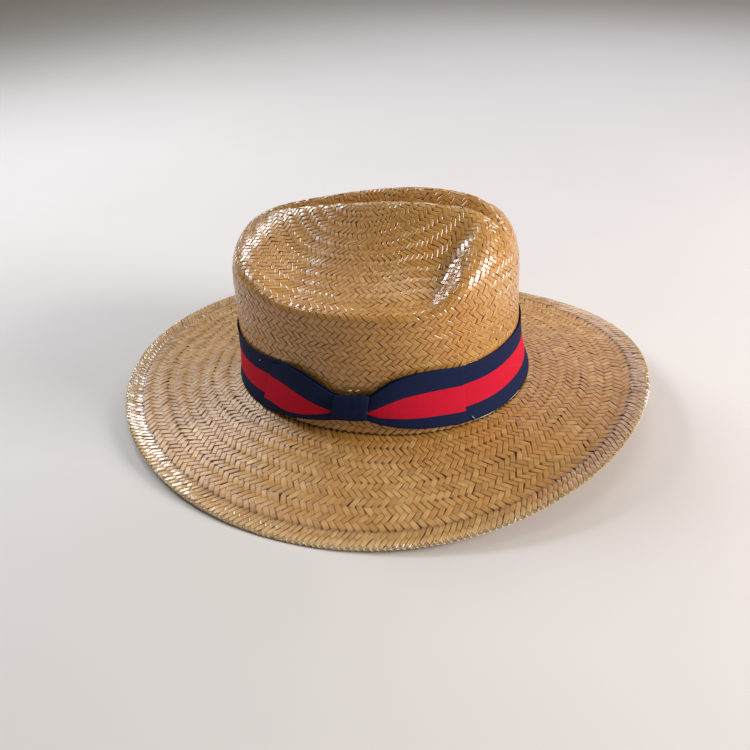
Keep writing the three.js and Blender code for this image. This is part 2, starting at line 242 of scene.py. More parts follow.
def brim_top(angles, share):
    """The brim's upper face: straight from the crown's foot to the rim's waved height, with a square-law curl
    in its outer part. share runs from 0 at the foot to 1 at the rim."""
    angle = angles[None, :]
    rim = (-RIM_DROP + RIM_LIFT_BACK * np.sin(angle) - RIM_DIP_SIDES * np.cos(2.0 * angle)
           - RIM_TWIST * np.sin(3.0 * angle))
    curl = CURL_RISE * (1.0 - CURL_SWING * np.cos(2.0 * angle))
    foot_x, foot_y = wall_plan(angle, 0.0)
    rounding = HEM_THICKNESS / 2.0
    x = foot_x + ((BRIM_HALF_WIDTH - rounding) * np.cos(angle) - foot_x) * share
    y = foot_y + ((BRIM_HALF_LENGTH - rounding) * np.sin(angle) - foot_y) * share
    past = np.clip((share - CURL_START) / (1.0 - CURL_START), 0.0, 1.0)
    z = (rim - curl) * share + curl * past * past
    return np.stack([x, y, z], axis=-1)


def skin_normals(points):
    """Unit normals of a skin that is closed round its columns: the cross product of the differences along a
    row and along a column."""
    around = np.roll(points, -1, axis=1) - np.roll(points, 1, axis=1)
    along = np.gradient(points, axis=0)
    normal = np.cross(around, along)
    size = np.linalg.norm(normal, axis=-1, keepdims=True)
    flat = size[..., 0] < 1e-9
    normal = normal / np.maximum(size, 1e-9)
    normal[flat] = (0.0, 0.0, 1.0)
    return normal


def resample(profiles, targets):
    """Points of each profile at the wanted arc lengths. All columns go through one interpolation, each moved
    clear of the others."""
    step = np.linalg.norm(np.diff(profiles, axis=0), axis=-1)
    arc = np.concatenate([np.zeros((1, step.shape[1])), np.cumsum(step, axis=0)], axis=0)
    clear = np.arange(arc.shape[1])[None, :] * 4000.0
    wanted = (targets * arc[-1:] if targets.shape[1] == 1 else np.minimum(targets, arc[-1:])) + clear
    known = (arc + clear).T.ravel()
    parts = [np.interp(wanted.T.ravel(), known, profiles[..., axis].T.ravel()) for axis in range(3)]
    return np.stack(parts, axis=-1).reshape(arc.shape[1], targets.shape[0], 3).transpose(1, 0, 2)


def arc_lengths(profiles):
    """The whole length of each profile."""
    return np.linalg.norm(np.diff(profiles, axis=0), axis=-1).sum(axis=0)[None, :]


def skin_angles():
    """The columns' angles from the wearer's left."""
    return np.arange(SKIN_COLUMNS) * FULL_TURN / SKIN_COLUMNS


def crown_skin(row_height):
    """The crown's skin on a grid of plait rows. The lowest rows lie level, at the row height, and the rest
    share what is left of each profile, a little closer together towards the tip."""
    profiles = crown_profiles(skin_angles())
    whole = arc_lengths(profiles)
    row = np.linspace(0.0, CROWN_ROWS, CROWN_ROWS * STEPS_PER_ROW + 1)[:, None]
    level = row_height * np.minimum(row, CROWN_LEVEL_ROWS)
    rest = np.maximum(row - CROWN_LEVEL_ROWS, 0.0) / (CROWN_ROWS - CROWN_LEVEL_ROWS)
    rest = rest + CROWN_CLOSING * rest * (1.0 - rest)
    return resample(profiles, level + rest * (whole - row_height * CROWN_LEVEL_ROWS))


def brim_profiles():
    """Points of the brim's outer skin for each angle: the underside of the hem from its raw edge out, half a
    circle round the rim, and the upper face in to the foot."""
    angles = skin_angles()
    shares = np.linspace(0.0, 1.0, 160)[:, None]
    top = brim_top(angles, shares)
    up = skin_normals(top[::-1])[::-1]
    out = top[-1] - top[-2]
    out = out / np.linalg.norm(out, axis=-1, keepdims=True)
    width = np.linalg.norm(top[-1] - top[0], axis=-1)[None, :]
    rounding = HEM_THICKNESS / 2.0
    hem_share = 1.0 - (HEM_WIDTH - rounding) / width
    past = hem_share + (1.0 - hem_share) * np.linspace(0.0, 1.0, 20)[:, None]
    below = brim_top(angles, past)
    below = below - HEM_THICKNESS * skin_normals(below[::-1])[::-1]
    turn = np.linspace(0.0, math.pi, 14)[1:-1, None, None]
    middle = top[-1] - rounding * up[-1]
    rim = middle + rounding * (out * np.sin(turn) - up[-1] * np.cos(turn))
    return np.concatenate([below, rim, top[::-1]], axis=0)


def brim_skin():
    """The brim's outer skin on a grid of plait rows: under the hem, round the rim, the pressed hem and the
    open plait up to the foot, each with its own row height. The plait's rows draw closer towards the foot."""
    profiles = brim_profiles()
    whole = arc_lengths(profiles)
    rounding = HEM_THICKNESS / 2.0
    flat = HEM_WIDTH - rounding
    knots = np.cumsum([0.0, HEM_ROWS, RIM_ROWS, FLAT_ROWS])
    places = np.array([0.0, flat, flat + math.pi * rounding, 2.0 * flat + math.pi * rounding])
    rows = HEM_ROWS + RIM_ROWS + FLAT_ROWS + PLAIT_ROWS
    row = np.linspace(0.0, rows, rows * STEPS_PER_ROW + 1)[:, None]
    level = np.interp(row, knots, places)
    rest = np.maximum(row - knots[-1], 0.0) / PLAIT_ROWS
    rest = rest + BRIM_CLOSING * rest * (1.0 - rest)
    return resample(profiles, level + rest * (whole - places[-1]))


def under_brim_skin():
    """The brim's underside from the foot out to the hem's raw edge, STRAW_WALL below the upper face."""
    angles = skin_angles()
    foot_x, foot_y = wall_plan(angles, 0.0)
    reach = np.hypot(BRIM_HALF_WIDTH * np.cos(angles) - foot_x, BRIM_HALF_LENGTH * np.sin(angles) - foot_y)
    last = 1.0 - (HEM_WIDTH + 0.5) / reach[None, :]
    share = np.linspace(0.0, 1.0, PLAIT_ROWS * STEPS_PER_ROW + 1)[:, None] * last
    top = brim_top(angles, share)
    return top + STRAW_WALL * skin_normals(top)


def sample(grid, row, column):
    """Values of a grid between its points, by the mean of the four round each place, weighted by nearness.
    Columns go round without an end."""
    row = np.clip(row, 0.0, grid.shape[0] - 1.001)
    low = np.floor(row).astype(int)
    left = np.floor(column).astype(int)
    up_share = (row - low)[..., None]
    right_share = (column - left)[..., None]
    left = left % grid.shape[1]
    right = (left + 1) % grid.shape[1]
    below = grid[low, left] * (1.0 - right_share) + grid[low, right] * right_share
    above = grid[low + 1, left] * (1.0 - right_share) + grid[low + 1, right] * right_share
    return below * (1.0 - up_share) + above * up_share


# Meshes


def make_piece(name, points, faces, material, nodes, values=None, maps=None, rounded=True):
    """Make a piece from points in millimetres and four-cornered faces, with point values and corner maps, and
    hang it on the frame."""
    old = bpy.data.objects.get(name)
    if old is not None:
        bpy.data.objects.remove(old, do_unlink=True)
    mesh = bpy.data.meshes.new(name)
    points = (np.asarray(points) + (0.0, 0.0, FOOT_HEIGHT)) * 0.001
    # What the hat rests on presses its lowest strands nearly level, but keeps their layers in order
    points[:, 2] = 0.5 * (points[:, 2] + np.hypot(points[:, 2], PRESSED_DEPTH))
    mesh.from_pydata(points.tolist(), [], np.asarray(faces).tolist())
    mesh.polygons.foreach_set("use_smooth", np.full(len(faces), rounded))
    for title, value in (values or {}).items():
        attribute = mesh.attributes.new(title, "FLOAT", "POINT")
        attribute.data.foreach_set("value", np.ascontiguousarray(value, dtype=np.float32))
    for title, corners in (maps or {}).items():
        layer = mesh.uv_layers.new(name=title)
        layer.data.foreach_set("uv", np.ascontiguousarray(corners, dtype=np.float32).ravel())
    mesh.materials.append(material)
    mesh.update()
    piece = bpy.data.objects.new(name, mesh)
    bpy.context.scene.collection.objects.link(piece)
    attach(piece, "root")
    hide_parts(*nodes)
    return piece


def ring_faces(rows, columns):
    """Faces of a grid that closes round its columns, with the first row and the last one open."""
    row = np.arange(rows - 1)[:, None] * columns
    column = np.arange(columns)[None, :]
    after = (column + 1) % columns
    corners = [row + column, row + after, row + columns + after, row + columns + column]
    return np.stack(corners, axis=-1).reshape(-1, 4)


# One strand's float: places along it and across it, in half lengths and half widths, and heights in mm
FLOAT_ALONG = np.array([-1.36, -0.86, 0.0, 0.86, 1.36])
FLOAT_DIP = np.array([0.58, 0.10, 0.0, 0.10, 0.58])
FLOAT_ACROSS = np.array([-1.02, -0.70, 0.70, 1.02])
FLOAT_EDGE = np.array([0.24, 0.0, 0.0, 0.24])


def even_columns(skin):
    """For each row of a skin, the column at each share of the way round it, so that floats are evenly spaced
    by length and not by angle. Rows are smoothed with their neighbours so that the plait stays joined."""
    step = np.linalg.norm(np.roll(skin, -1, axis=1) - skin, axis=-1) + 1e-6
    walked = np.concatenate([np.zeros((len(step), 1)), np.cumsum(step, axis=1)], axis=1)
    walked = walked / walked[:, -1:]
    clear = np.arange(len(step))[:, None] * 2.0
    shares = np.linspace(0.0, 1.0, 361)[None, :]
    columns = np.broadcast_to(np.arange(walked.shape[1], dtype=float), walked.shape)
    table = np.interp((shares + clear).ravel(), (walked + clear).ravel(), columns.ravel())
    table = table.reshape(len(step), -1)
    reach = 2 * STEPS_PER_ROW
    padded = np.concatenate([np.repeat(table[:1], reach, axis=0), table, np.repeat(table[-1:], reach, axis=0)])
    total = np.cumsum(np.concatenate([np.zeros((1, table.shape[1])), padded]), axis=0)
    return (total[2 * reach + 1:] - total[:-2 * reach - 1]) / (2 * reach + 1)


def float_faces(count):
    """Faces of many floats: each is a bar of four sides and four lengths, closed by its two ends."""
    along = len(FLOAT_ALONG)
    across = len(FLOAT_ACROSS)
    place = np.arange(along - 1)[:, None] * across
    side = np.arange(across)[None, :]
    after = (side + 1) % across
    sides = np.stack([place + side, place + across + side, place + across + after, place + after], axis=-1)
    last = (along - 1) * across
    ends = np.array([[0, 1, 2, 3], [last + 3, last + 2, last + 1, last]])
    one = np.concatenate([sides.reshape(-1, 4), ends], axis=0)
    return (np.arange(count)[:, None, None] * (along * across) + one[None]).reshape(-1, 4)


def float_maps(count, strand, length, width):
    """Two maps for the floats' corners: the strand's own, in millimetres along and across it, and one with a
    cell of its own for each float."""
    along = len(FLOAT_ALONG)
    across = len(FLOAT_ACROSS)
    place = np.arange(along - 1)[:, None] + np.zeros((1, across))
    side = np.zeros((along - 1, 1)) + np.arange(across)[None, :]
    lows = np.stack([place, place + 1, place + 1, place], axis=-1).reshape(-1, 4) / (along - 1)
    sides = np.stack([side, side, side + 1, side + 1], axis=-1).reshape(-1, 4) / across
    ends_low = np.array([[0.0, 0.0, 0.0, 0.0], [1.0, 1.0, 1.0, 1.0]])
    ends_side = np.array([[0.0, 0.25, 0.5, 0.75], [0.75, 0.5, 0.25, 0.0]])
    run = np.concatenate([lows, ends_low], axis=0)
    turn = np.concatenate([sides, ends_side], axis=0)
    own_u = run[None] * length + strand[:, None, None] * 7.3
    own_v = turn[None] * width * 2.2 + strand[:, None, None] * 3.1
    own = np.stack([own_u, own_v], axis=-1)
    cells = int(math.ceil(math.sqrt(count)))
    cell = np.arange(count)[:, None, None]
    baked_u = (cell % cells + 0.06 + 0.88 * run[None]) / cells
    baked_v = (cell // cells + 0.06 + 0.88 * turn[None]) / cells
    baked = np.stack([baked_u, baked_v], axis=-1)
    return {"strand": own, "OFBake": baked}


def plait(skin, counts, first_row, seed, lift=0.05, relief=1.0, seam=None, wear=None, one_way=False):
    """Floats of a two-over, two-under twill that runs in rows round the skin.

    In each row the floats lean one way, in the next the other way and half a pitch on, so that each float's end
    goes under the side of the next. A float runs half a pitch and half a row each way from its middle. Its
    height is the lift less a dip towards its ends and edges, where its colour is painted darker as shade. seam
    is a row boundary that is drawn in and painted darker as shade in its groove, wear gives how much paler the
    straw is at a point, and one_way makes all rows lean alike, as the strands of a pressed fold do.
    """
    chance = np.random.default_rng(seed)
    counts = np.asarray(counts)
    row = np.repeat(np.arange(len(counts)) + first_row, counts)
    first = np.repeat(np.cumsum(counts) - counts, counts)
    column = np.arange(len(row)) - first
    pitch = FULL_TURN / np.repeat(counts, counts)
    odd = np.zeros_like(row) if one_way else row % 2
    lean = 1.0 - 2.0 * odd
    total = len(row)
    shift = chance.normal(0.0, 0.03, (total, 2))
    turn = chance.normal(0.0, 0.06, total)
    stretch = 1.0 + chance.normal(0.0, 0.04, total)
    slim = np.clip(1.0 + chance.normal(0.0, 0.05, total), 0.88, 1.08)
    middle_column = column + 0.5 * odd + 0.25 + shift[:, 0]
    middle_row = row + 0.5 + shift[:, 1]
    along = FLOAT_ALONG[None, :, None] * stretch[:, None, None] * 0.5
    across = FLOAT_ACROSS[None, None, :] * slim[:, None, None] * 0.25
    bend = turn[:, None, None]
    to_right = along * (lean[:, None, None] + bend) - across * (1.0 - bend * lean[:, None, None])
    to_up = along * (1.0 - bend * lean[:, None, None]) + across * (lean[:, None, None] + bend)
    angle = (middle_column[:, None, None] + to_right) * pitch[:, None, None]
    height = middle_row[:, None, None] + to_up
    # Rows wave by a tenth of their height, and strands drift by a sixth of a pitch from row to row
    wave = 0.10 * np.sin(5.0 * angle + 0.7 * height) + 0.07 * np.sin(9.0 * angle - 0.4 * height + 1.3)
    sway = 0.16 * np.sin(0.9 * height + 2.0 * angle) + 0.12 * np.sin(0.37 * height - 3.0 * angle + 0.6)
    if seam is not None:
        wave = wave * np.clip(np.abs(height - seam) / 2.0, 0.0, 1.0)
    grid_row = (height + wave) * STEPS_PER_ROW
    share = (angle + sway * pitch[:, None, None]) / FULL_TURN
    turns = np.floor(share)
    table = even_columns(skin)[..., None]
    grid_column = sample(table, grid_row, (share - turns) * 360.0)[..., 0] + turns * skin.shape[1]
    normals = skin_normals(skin)
    base = sample(skin, grid_row, grid_column)
    normal = sample(normals, grid_row, grid_column)
    normal = normal / np.linalg.norm(normal, axis=-1, keepdims=True)
    dip = np.broadcast_to(FLOAT_DIP[None, :, None] + FLOAT_EDGE[None, None, :], height.shape)
    raised = chance.normal(0.0, 0.05, total)[:, None, None]
    tilt = chance.normal(0.0, 0.03, (total, 1, 1)) * FLOAT_ALONG[None, :, None]
    tilt = tilt + chance.normal(0.0, 0.03, (total, 1, 1)) * FLOAT_ACROSS[None, None, :]
    up = lift + relief * (raised + tilt - dip)
    # Painted shade: the colour darkens towards the dips where a strand goes under its neighbours
    shade = 1.0 - np.clip(dip / FLOAT_DIP[0], 0.0, 1.0)
    if seam is not None:
        drawn = np.exp(-((height - seam) / 0.25) ** 2)
        up = up - 0.15 * drawn
        # Painted shade: the drawn-in seam is coloured darker, as shade in its groove
        shade = shade * (1.0 - 0.5 * drawn)
    points = base + normal * up[..., None]
    strand = column - np.where(lean > 0, row, -row) + 1000.0 * lean
    tone = np.abs(np.sin(strand * 12.9898) * 43758.5453) % 1.0
    tone = np.clip(0.5 * tone + 0.5 * chance.random(total), 0.0, 1.0)
    rubbed = np.zeros_like(dip) if wear is None else wear(points, height) * (0.4 + 0.6 * shade)
    values = {
        "tone": np.broadcast_to(tone[:, None, None], dip.shape).ravel(),
        "depth": shade.ravel(),
        "wear": rubbed.ravel(),
    }
    maps = float_maps(total, strand % 97.0, 9.0, 3.2)
    return points.reshape(-1, 3), float_faces(total), values, maps


def ridge_wear(points, row):
    """Rubbed straw along the two ridges: a bell curve of the distance from each ridge, on the upper side."""
    x, y, z = points[..., 0], points[..., 1], points[..., 2]
    near = np.exp(-((np.abs(x) - ridge_half_width(y)) / 2.6) ** 2)
    return 0.55 * near * smooth(85.0, 100.0, z) * (0.6 + 0.4 * np.sin(0.31 * y + x * 0.2))


def rim_paling(points, row):
    """Paler straw where the hem is folded: a bell curve about the rim's row, on a slight paling all over."""
    middle = HEM_ROWS + 0.5 * RIM_ROWS
    return 0.12 + 0.8 * np.exp(-((row - middle) / 0.75) ** 2)


# Materials


def put(tree, kind, inputs=None, **settings):
    """Add a node with its settings. An input is a value for its socket or an output to link to it."""
    node = tree.nodes.new(kind)
    for title, value in settings.items():
        setattr(node, title, value)
    for title, value in (inputs or {}).items():
        socket = node.inputs[title]
        if isinstance(value, bpy.types.NodeSocket):
            tree.links.new(value, socket)
        else:
            socket.default_value = value
    return node


def fresh_material(name):
    """An empty node material of this name."""
    material = bpy.data.materials.get(name) or bpy.data.materials.new(name)
    material.use_nodes = True
    material.node_tree.nodes.clear()
    return material


def straw_material(name, settings, coat, amber_share=0.5):
    """Split palm leaf, plaited, pressed and lacquered: warm tan strands that differ a little in colour, with
    fine fibres along each one, painted shade where they go under, paler where they are rubbed and about the
    folded rim, and glossy lacquer that gives each strand its own small highlight. The coat is the lacquer's
    weight and roughness, and the amber share is how far the lacquer's thickest patches colour the straw."""
    material = fresh_material(name)
    tree = material.node_tree
    tone = put(tree, "ShaderNodeAttribute", attribute_name="tone")
    depth = put(tree, "ShaderNodeAttribute", attribute_name="depth")
    wear = put(tree, "ShaderNodeAttribute", attribute_name="wear")
    place = put(tree, "ShaderNodeTexCoord")
    strand = put(tree, "ShaderNodeUVMap", uv_map="strand")
    # Fibres are about 0.3 mm apart across the strand and run for several millimetres along it
    fibre_place = put(tree, "ShaderNodeMapping", {"Vector": strand.outputs["UV"], "Scale": (0.12, 3.0, 1.0)})
    fibre = put(tree, "ShaderNodeTexNoise", {
        "Vector": fibre_place.outputs["Vector"], "Scale": 1.0, "Detail": 3.0,
    })
    # Patches of thicker lacquer are 20 to 30 mm wide
    patch = put(tree, "ShaderNodeTexNoise", {"Vector": place.outputs["Object"], "Scale": 38.0, "Detail": 2.0})
    half = put(tree, "ShaderNodeMath", {0: tone.outputs["Fac"], 1: 0.5}, operation="MULTIPLY")
    both = put(tree, "ShaderNodeMath", {
        0: fibre.outputs["Fac"], 1: 0.5, 2: half.outputs[0],
    }, operation="MULTIPLY_ADD")
    ramp = put(tree, "ShaderNodeValToRGB", {"Fac": both.outputs[0]})
    ramp.color_ramp.elements[0].position = 0.15
    ramp.color_ramp.elements[0].color = (*settings.dark, 1.0)
    ramp.color_ramp.elements[1].position = 0.85
    ramp.color_ramp.elements[1].color = (*settings.light, 1.0)
    middle = ramp.color_ramp.elements.new(0.5)
    middle.color = (*settings.colour, 1.0)
    patch_share = put(tree, "ShaderNodeMapRange", {
        "Value": patch.outputs["Fac"], "From Min": 0.42, "From Max": 0.7,
        "To Min": amber_share - 0.5, "To Max": amber_share,
    })
    amber = put(tree, "ShaderNodeMix", {
        0: patch_share.outputs[0], 6: ramp.outputs["Color"], 7: (*settings.amber, 1.0),
    }, data_type="RGBA")
    cream = put(tree, "ShaderNodeMix", {
        0: wear.outputs["Fac"], 6: amber.outputs[2], 7: (*settings.rim, 1.0),
    }, data_type="RGBA")
    # Painted shade: strands are coloured towards the gaps' dark brown where they dip under their neighbours
    gap = put(tree, "ShaderNodeMapRange", {"Value": depth.outputs["Fac"], "From Min": 0.05, "From Max": 0.95})
    shaded = put(tree, "ShaderNodeMix", {
        0: gap.outputs[0], 6: (*settings.gap, 1.0), 7: cream.outputs[2],
    }, data_type="RGBA")
    rough = put(tree, "ShaderNodeMapRange", {
        "Value": fibre.outputs["Fac"], "To Min": 0.32, "To Max": 0.52,
    })
    bump = put(tree, "ShaderNodeBump", {"Height": fibre.outputs["Fac"], "Strength": 0.35, "Distance": 0.0002})
    shader = put(tree, "ShaderNodeBsdfPrincipled", {
        "Base Color": shaded.outputs[2], "Roughness": rough.outputs[0], "Normal": bump.outputs["Normal"],
        "IOR": 1.5, "Coat Weight": coat[0], "Coat Roughness": coat[1], "Coat IOR": 1.6,
    })
    put(tree, "ShaderNodeOutputMaterial", {"Surface": shader.outputs["BSDF"]})
    return material


def core_material(settings):
    """The plait's inside, seen only through the gaps: unlacquered and dull, coloured the gaps' dark brown as painted
    shade.
    """
    material = fresh_material("Palm leaf, inner layer of the plait")
    tree = material.node_tree
    place = put(tree, "ShaderNodeTexCoord")
    noise = put(tree, "ShaderNodeTexNoise", {"Vector": place.outputs["Object"], "Scale": 900.0, "Detail": 2.0})
    # Painted shade: the gaps' colour, darker still in patches
    ramp = put(tree, "ShaderNodeValToRGB", {"Fac": noise.outputs["Fac"]})
    ramp.color_ramp.elements[0].color = (*[part * 0.6 for part in settings.gap], 1.0)
    ramp.color_ramp.elements[1].color = (*settings.gap, 1.0)
    shader = put(tree, "ShaderNodeBsdfPrincipled", {"Base Color": ramp.outputs["Color"], "Roughness": 0.7})
    put(tree, "ShaderNodeOutputMaterial", {"Surface": shader.outputs["BSDF"]})
    return material


def ribbon_material(name, settings, striped):
    """Grosgrain ribbon, woven of rayon over thick cross threads: fine ribs across its width, deep colour and
    little gloss. Its stripes are woven in, so their edges are straight and hard."""
    material = fresh_material(name)
    tree = material.node_tree
    flat = put(tree, "ShaderNodeUVMap", uv_map="ribbon")
    parts = put(tree, "ShaderNodeSeparateXYZ", {0: flat.outputs["UV"]})
    # Ribs are 0.6 mm apart along the ribbon
    ribs = put(tree, "ShaderNodeMath", {0: parts.outputs["X"], 1: FULL_TURN / 0.6}, operation="MULTIPLY")
    wave = put(tree, "ShaderNodeMath", {0: ribs.outputs[0]}, operation="SINE")
    # Threads are 0.5 mm long between ribs and about 1 mm long across them, drawn coarse enough to show
    thread_place = put(tree, "ShaderNodeMapping", {"Vector": flat.outputs["UV"], "Scale": (1.2, 2.0, 1.0)})
    thread = put(tree, "ShaderNodeTexNoise", {"Vector": thread_place.outputs["Vector"], "Scale": 1.0, "Detail": 3.0})
    if striped:
        wander = put(tree, "ShaderNodeTexNoise", {"Vector": flat.outputs["UV"], "Scale": 1.5, "Detail": 1.0})
        moved = put(tree, "ShaderNodeMath", {
            0: wander.outputs["Fac"], 1: 0.25, 2: parts.outputs["Y"],
        }, operation="MULTIPLY_ADD")
        share = put(tree, "ShaderNodeMath", {0: moved.outputs[0], 1: RIBBON_WIDTH}, operation="DIVIDE")
        stripes = put(tree, "ShaderNodeValToRGB", {"Fac": share.outputs[0]})
        stripes.color_ramp.interpolation = "CONSTANT"
        stripes.color_ramp.elements[0].color = (*settings.edge_colour, 1.0)
        stripes.color_ramp.elements[1].position = settings.lower_share
        stripes.color_ramp.elements[1].color = (*settings.middle_colour, 1.0)
        upper = stripes.color_ramp.elements.new(1.0 - settings.upper_share)
        upper.color = (*settings.edge_colour, 1.0)
        woven = stripes.outputs["Color"]
    else:
        plain = put(tree, "ShaderNodeRGB")
        plain.outputs[0].default_value = (*settings.edge_colour, 1.0)
        woven = plain.outputs[0]
    light = put(tree, "ShaderNodeMapRange", {
        "Value": thread.outputs["Fac"], "From Min": 0.25, "From Max": 0.75, "To Min": 0.7, "To Max": 1.25,
    })
    varied = put(tree, "ShaderNodeVectorMath", {0: woven, "Scale": light.outputs[0]}, operation="SCALE")
    height = put(tree, "ShaderNodeMath", {
        0: thread.outputs["Fac"], 1: 3.0, 2: wave.outputs[0],
    }, operation="MULTIPLY_ADD")
    bump = put(tree, "ShaderNodeBump", {"Height": height.outputs[0], "Strength": 0.3, "Distance": 0.00008})
    shader = put(tree, "ShaderNodeBsdfPrincipled", {
        "Base Color": varied.outputs[0], "Roughness": 0.8, "Normal": bump.outputs["Normal"],
        "IOR": 1.45, "Specular IOR Level": 0.3,
    })
    put(tree, "ShaderNodeOutputMaterial", {"Surface": shader.outputs["BSDF"]})
    return material


def floor_material(settings):
    """Matt painted board: pale, with the faint mottle of a rolled coat."""
    material = fresh_material("Painted board, matt")
    tree = material.node_tree
    place = put(tree, "ShaderNodeTexCoord")
    noise = put(tree, "ShaderNodeTexNoise", {"Vector": place.outputs["Object"], "Scale": 6.0, "Detail": 4.0})
    light = put(tree, "ShaderNodeMapRange", {"Value": noise.outputs["Fac"], "To Min": 0.96, "To Max": 1.03})
    varied = put(tree, "ShaderNodeVectorMath", {0: settings.floor, "Scale": light.outputs[0]}, operation="SCALE")
    shader = put(tree, "ShaderNodeBsdfPrincipled", {"Base Color": varied.outputs[0], "Roughness": 0.85})
    put(tree, "ShaderNodeOutputMaterial", {"Surface": shader.outputs["BSDF"]})
    return material


# Settings


class StrawSettings(bpy.types.PropertyGroup):
    """Sizes and colours of the plaited straw."""

    row_height: FloatProperty(
        name="Row height", description="Height of a plait row on the crown's wall, in millimetres",
        default=4.0, min=3.0, max=4.5)
    colour: FloatVectorProperty(
        name="Straw", description="Colour of most strands", subtype="COLOR",
        default=linear("#c08c3c"), min=0.0, max=1.0)
    dark: FloatVectorProperty(
        name="Dark strands", description="Colour of the darkest strands", subtype="COLOR",
        default=linear("#9c6a28"), min=0.0, max=1.0)
    light: FloatVectorProperty(
        name="Light strands", description="Colour of the lightest strands", subtype="COLOR",
        default=linear("#dab26c"), min=0.0, max=1.0)
    amber: FloatVectorProperty(
        name="Amber", description="Colour of patches with more lacquer", subtype="COLOR",
        default=linear("#c4862a"), min=0.0, max=1.0)
    # The gaps' colour is painted shade for where a strand goes under
    gap: FloatVectorProperty(
        name="Gaps", description="Colour where a strand goes under", subtype="COLOR",
        default=linear("#4f3018"), min=0.0, max=1.0)
    rim: FloatVectorProperty(
        name="Rim", description="Colour of the folded edge and of rubbed straw", subtype="COLOR",
        default=linear("#e2c996"), min=0.0, max=1.0)


class RibbonSettings(bpy.types.PropertyGroup):
    """Colours and stripes of the ribbon."""

    edge_colour: FloatVectorProperty(
        name="Edge stripes", description="Colour of the two outer stripes and of the knot", subtype="COLOR",
        default=linear("#071a42"), min=0.0, max=1.0)
    middle_colour: FloatVectorProperty(
        name="Middle stripe", description="Colour of the middle stripe", subtype="COLOR",
        default=linear("#cf0b30"), min=0.0, max=1.0)
    lower_share: FloatProperty(
        name="Lower stripe", description="Share of the width below the middle stripe", subtype="FACTOR",
        default=0.262, min=0.0, max=1.0)
    upper_share: FloatProperty(
        name="Upper stripe", description="Share of the width above the middle stripe", subtype="FACTOR",
        default=0.33, min=0.0, max=1.0)


class StageSettings(bpy.types.PropertyGroup):
    """Floor and light."""

    floor: FloatVectorProperty(
        name="Floor", description="Colour of the floor", subtype="COLOR", default=linear("#dddad6"), min=0.0, max=1.0)
    key: FloatProperty(
        name="Key light", description="Power of the main softbox", unit="POWER", default=16.5, min=0.0)
    window: FloatProperty(
        name="Window light", description="Power of the small bright softbox at the hat's front", unit="POWER",
        default=7.0, min=0.0)
    top: FloatProperty(
        name="Top light", description="Power of the wide softbox above the hat", unit="POWER",
        default=5.0, min=0.0)
    back: FloatProperty(
        name="Back light", description="Power of the wide dim softbox behind the hat", unit="POWER",
        default=3.5, min=0.0)


# Operators

def crown_counts(skin):
    """Floats in each row of the crown, fewer in steps towards the tip, where the strands also lie closer."""
    middle = skin[STEPS_PER_ROW // 2::STEPS_PER_ROW]
    length = np.linalg.norm(np.roll(middle, -1, axis=1) - middle, axis=-1).sum(axis=1)
    pitch = np.interp(np.arange(CROWN_ROWS), (CROWN_LEVEL_ROWS, 28.0, 38.0), (4.45, 3.5, 2.95))
    steps = np.array(CROWN_STEPS)
    nearest = np.abs(steps[None, :] - (length / pitch)[:, None]).argmin(axis=1)
    return steps[nearest]


class STRAWHAT_OT_ground(bpy.types.Operator):
    """Make the plait's closed inner layer, which keeps light from showing through the gaps"""

    bl_idname = "strawhat.ground"
    bl_label = "Inner layer"

    def execute(self, context):
        settings = context.scene.strawhat_straw
        crown = crown_skin(settings.row_height)[::2, ::4]
        brim = brim_skin()[::2, ::4]
        outer = np.concatenate([brim, crown[1:]], axis=0)
        outer = outer - 0.62 * skin_normals(outer)
        crown_inner = crown - 1.0 * skin_normals(crown)
        under = under_brim_skin()[::2, ::4]
        under = under - 0.6 * skin_normals(under)
        inner = np.concatenate([crown_inner[::-1], under[1:]], axis=0)
        points = np.concatenate([outer, inner], axis=0)
        rows, columns = points.shape[:2]
        faces = ring_faces(rows, columns)
        last = (rows - 1) * columns
        column = np.arange(columns)
        after = (column + 1) % columns
        closing = np.stack([last + column, last + after, after, column], axis=-1)
        make_piece("straw_ground", points.reshape(-1, 3), np.concatenate([faces, closing]),
                   core_material(settings), ["straw_body"])
        return {"FINISHED"}


class STRAWHAT_OT_crown(bpy.types.Operator):
    """Plait the crown, outside and inside"""

    bl_idname = "strawhat.crown"
    bl_label = "Crown"

    def execute(self, context):
        settings = context.scene.strawhat_straw
        skin = crown_skin(settings.row_height)
        counts = crown_counts(skin)
        material = straw_material("Palm straw, plaited and lacquered", settings, (0.9, 0.19), 0.9)
        points, faces, values, maps = plait(skin, counts, 0, SEED, wear=ridge_wear)
        make_piece("crown_plait", points, faces, material, ["straw_body"], values, maps, False)
        inner = (skin - STRAW_WALL * skin_normals(skin))[:, ::-1]
        points, faces, values, maps = plait(inner, counts, 0, SEED + 1)
        make_piece("crown_plait_inside", points, faces, material, ["straw_body"], values, maps, False)
        return {"FINISHED"}


class STRAWHAT_OT_brim(bpy.types.Operator):
    """Plait the brim's upper face, its folded hem and its underside"""

    bl_idname = "strawhat.brim"
    bl_label = "Brim"

    def execute(self, context):
        settings = context.scene.strawhat_straw
        skin = brim_skin()
        material = straw_material("Palm straw, plaited and rubbed", settings, (0.5, 0.32))
        pressed = straw_material("Palm straw, folded and pressed", settings, (1.0, 0.14))
        rows = HEM_ROWS + RIM_ROWS + FLAT_ROWS
        points, faces, values, maps = plait(skin, [HEM_FLOATS] * rows, 0, SEED + 2, lift=0.0,
                                            seam=rows, wear=rim_paling, one_way=True)
        make_piece("brim_hem", points, faces, pressed, ["straw_body"], values, maps, False)
        points, faces, values, maps = plait(skin, BRIM_FLOATS, rows, SEED + 3, lift=0.1, seam=rows)
        make_piece("brim_plait", points, faces, material, ["straw_body"], values, maps, False)
        under = under_brim_skin()
        points, faces, values, maps = plait(under, BRIM_FLOATS[::-1], 0, SEED + 4, lift=0.0)
        make_piece("brim_plait_under", points, faces, material, ["straw_body"], values, maps, False)
        return {"FINISHED"}


